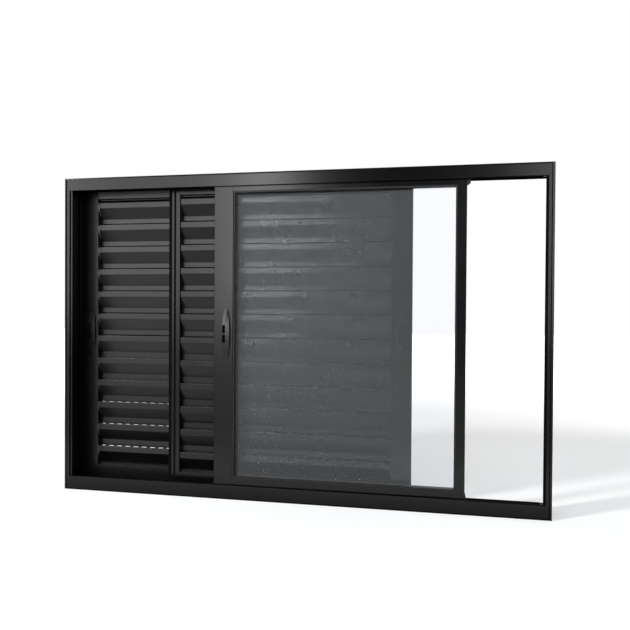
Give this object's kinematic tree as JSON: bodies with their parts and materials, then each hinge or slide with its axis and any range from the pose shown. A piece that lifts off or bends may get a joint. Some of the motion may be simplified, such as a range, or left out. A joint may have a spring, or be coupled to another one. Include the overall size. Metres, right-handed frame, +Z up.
{
  "type": "sliding shutter window",
  "caption": "Black aluminium sliding window with a three-track frame, a clear glass leaf and louvred shutter leaves, each with a slim edge latch.",
  "frame": {"origin": "centre of the window's bounding box at its base", "axes": "+X along the window's width to the right as seen from the room, +Y from the room to the outside, +Z up"},
  "size_m": [1.5, 0.116, 1],
  "materials": {
    "frame_paint": "satin",
    "leaf_paint": "satin",
    "slat_paint": "satin",
    "clear_glass": "polished",
    "bead_rubber": "matte",
    "latch_plastic": "satin",
    "guide_nylon": "matte",
    "roller_nylon": "matte"
  },
  "bodies": {
    "root": {"head_track": "frame_paint", "sill_track": "frame_paint", "left_jamb": "frame_paint", "right_jamb": "frame_paint", "front_leaf_latch_stile": "leaf_paint", "front_leaf_meeting_stile": "leaf_paint", "front_leaf_top_rail": "leaf_paint", "front_leaf_bottom_rail": "leaf_paint", "front_leaf_rollers": "roller_nylon", "front_leaf_bead": "bead_rubber", "front_leaf_glass": "clear_glass", "front_leaf_latch_shell": "latch_plastic", "front_leaf_latch_grip": "latch_plastic", "front_leaf_end_guides": "guide_nylon", "middle_leaf_latch_stile": "leaf_paint", "middle_leaf_meeting_stile": "leaf_paint", "middle_leaf_top_rail": "leaf_paint", "middle_leaf_bottom_rail": "leaf_paint", "middle_leaf_rollers": "roller_nylon", "middle_leaf_bead": "leaf_paint", "middle_leaf_slats": "slat_paint", "middle_leaf_latch_shell": "latch_plastic", "middle_leaf_latch_grip": "latch_plastic", "middle_leaf_end_guides": "guide_nylon", "rear_leaf_latch_stile": "leaf_paint", "rear_leaf_meeting_stile": "leaf_paint", "rear_leaf_top_rail": "leaf_paint", "rear_leaf_bottom_rail": "leaf_paint", "rear_leaf_rollers": "roller_nylon", "rear_leaf_bead": "leaf_paint", "rear_leaf_slats": "slat_paint", "rear_leaf_latch_shell": "latch_plastic", "rear_leaf_latch_grip": "latch_plastic", "rear_leaf_end_guides": "guide_nylon"}
  },
  "joints": []
}
